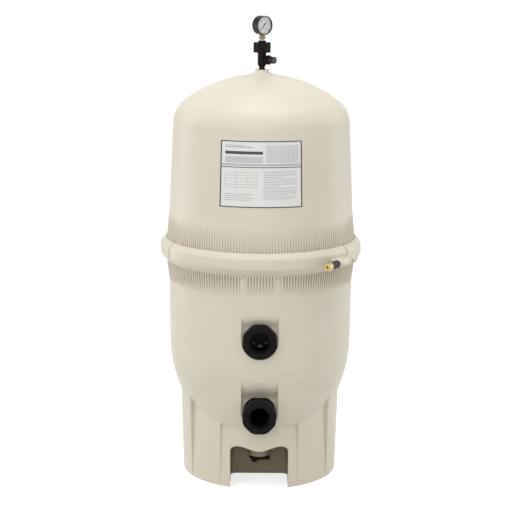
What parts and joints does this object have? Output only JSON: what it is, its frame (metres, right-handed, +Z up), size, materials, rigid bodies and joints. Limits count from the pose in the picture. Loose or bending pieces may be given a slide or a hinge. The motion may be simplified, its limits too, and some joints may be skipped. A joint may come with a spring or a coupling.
{
  "type": "pool filter tank",
  "caption": "Upright moulded two-piece pool filter tank with ribbed flanges, segmented V-clamp, front port unions, relief valve and pressure gauge.",
  "frame": {"origin": "centre of the skirt's rim on the floor, on the tank's axis", "axes": "+Z up along the tank's axis, -Y towards the two ports and the label, +X to the right seen from the front"},
  "size_m": [0.5684, 0.5666, 1.2843],
  "materials": {
    "tank_shell": "moulded glass-filled plastic, fine grain",
    "clamp_plastic": "moulded plastic, slightly smoother than the tank",
    "black_plastic": "satin black moulding",
    "gray_plastic": "plain grey moulding",
    "seal": "matt seal rubber",
    "pipe": "white pipe plastic",
    "grid_cloth": "woven filter cloth over a plastic frame",
    "stainless": "stainless steel",
    "brass": "turned brass",
    "spring_steel": "dark coated spring wire",
    "label_film": "printed label film",
    "dial_face": "printed white dial",
    "lens": "clear lens",
    "tape": "white thread tape",
    "knob": "dark brown knob"
  },
  "bodies": {
    "tank": {"tank_bottom": "tank_shell", "tank_o_ring": "seal", "inlet_gasket": "seal", "inlet_bulkhead": "black_plastic", "inlet_locknut": "black_plastic", "inlet_tailpiece": "black_plastic", "inlet_union_nut": "black_plastic", "inlet_diffuser": "gray_plastic", "outlet_gasket": "seal", "outlet_bulkhead": "black_plastic", "outlet_locknut": "black_plastic", "outlet_tailpiece": "black_plastic", "outlet_union_nut": "black_plastic", "outlet_elbow": "gray_plastic", "outlet_pipe": "pipe", "manifold": "gray_plastic", "grid_1": "grid_cloth", "grid_2": "grid_cloth", "grid_3": "grid_cloth", "grid_4": "grid_cloth", "grid_5": "grid_cloth", "grid_6": "grid_cloth", "grid_7": "grid_cloth", "partial_grid": "grid_cloth", "grid_spacer": "gray_plastic", "tie_rod": "stainless", "retainer_washer": "stainless", "wing_nut": "stainless", "air_bleed_tube": "pipe"},
    "drain_seal": {"drain_gasket": "seal"},
    "drain_plug": {"drain_plug": "black_plastic"},
    "lid": {"tank_lid": "tank_shell", "lid_label": "label_film", "valve_o_ring": "seal", "valve_body": "black_plastic", "valve_nut": "black_plastic", "gauge_adapter": "black_plastic", "thread_tape": "tape", "gauge_socket": "brass", "gauge_case": "black_plastic", "gauge_dial": "dial_face", "gauge_bezel": "black_plastic", "gauge_lens": "lens"},
    "pointer": {"gauge_pointer": "black_plastic"},
    "relief": {"relief_stem": "black_plastic", "relief_knob": "knob"},
    "front_segment": {"clamp_front": "clamp_plastic", "trunnion": "stainless", "tension_spring": "spring_steel"},
    "right_segment": {"clamp_right": "clamp_plastic", "t_bolt": "stainless"},
    "left_segment": {"clamp_left": "clamp_plastic"},
    "washer": {"nut_washer": "stainless"},
    "nut": {"tension_nut": "brass"}
  },
  "joints": [
    {"name": "lid_lift", "type": "slide", "parent": "tank", "child": "lid", "axis": [0, 0, 1], "range_m": [0, 0.39]},
    {"name": "front_segment_out", "type": "slide", "parent": "tank", "child": "front_segment", "axis": [-0.0439, -0.8373, 0.545], "range_m": [0, 0.3588]},
    {"name": "right_segment_out", "type": "slide", "parent": "tank", "child": "right_segment", "axis": [0.7471, 0.3806, 0.545], "range_m": [0, 0.3588]},
    {"name": "left_segment_out", "type": "slide", "parent": "tank", "child": "left_segment", "axis": [-0.7032, 0.4566, 0.545], "range_m": [0, 0.3588]},
    {"name": "nut_travel", "type": "slide", "parent": "front_segment", "child": "washer", "axis": [-0.5446, -0.8387, 0], "range_m": [0, 0.0121], "deforming": ["tension_spring"]},
    {"name": "nut_spin", "type": "hinge", "parent": "washer", "child": "nut", "pos_m": [0.24992, -0.1623, 0.64], "axis": [-0.5446, -0.8387, 0], "range_deg": [0, 2721.3]},
    {"name": "relief_turn", "type": "hinge", "parent": "lid", "child": "relief", "pos_m": [0, 0, 1.165], "axis": [0.788, -0.6157, 0], "range_deg": [0, 90]},
    {"name": "pointer_swing", "type": "hinge", "parent": "lid", "child": "pointer", "pos_m": [0, 0, 1.2585], "axis": [-0.6157, 0.788, 0], "range_deg": [0, 270]},
    {"name": "drain_seal_drop", "type": "slide", "parent": "tank", "child": "drain_seal", "axis": [0, 0, -1], "range_m": [0, 0.0111]},
    {"name": "drain_turn", "type": "hinge", "parent": "drain_seal", "child": "drain_plug", "pos_m": [0, -0.132, 0.074], "axis": [0, 0, -1], "range_deg": [0, 1792.7]}
  ],
  "couplings": [
    {"joint": "front_segment_out", "follows": "lid_lift", "ratio": 0.91745},
    {"joint": "right_segment_out", "follows": "lid_lift", "ratio": 0.91745},
    {"joint": "left_segment_out", "follows": "lid_lift", "ratio": 0.91745},
    {"joint": "nut_travel", "follows": "nut_spin", "m_per_rad": 0.00025266},
    {"joint": "drain_seal_drop", "follows": "drain_turn", "m_per_rad": 0.00035157}
  ]
}
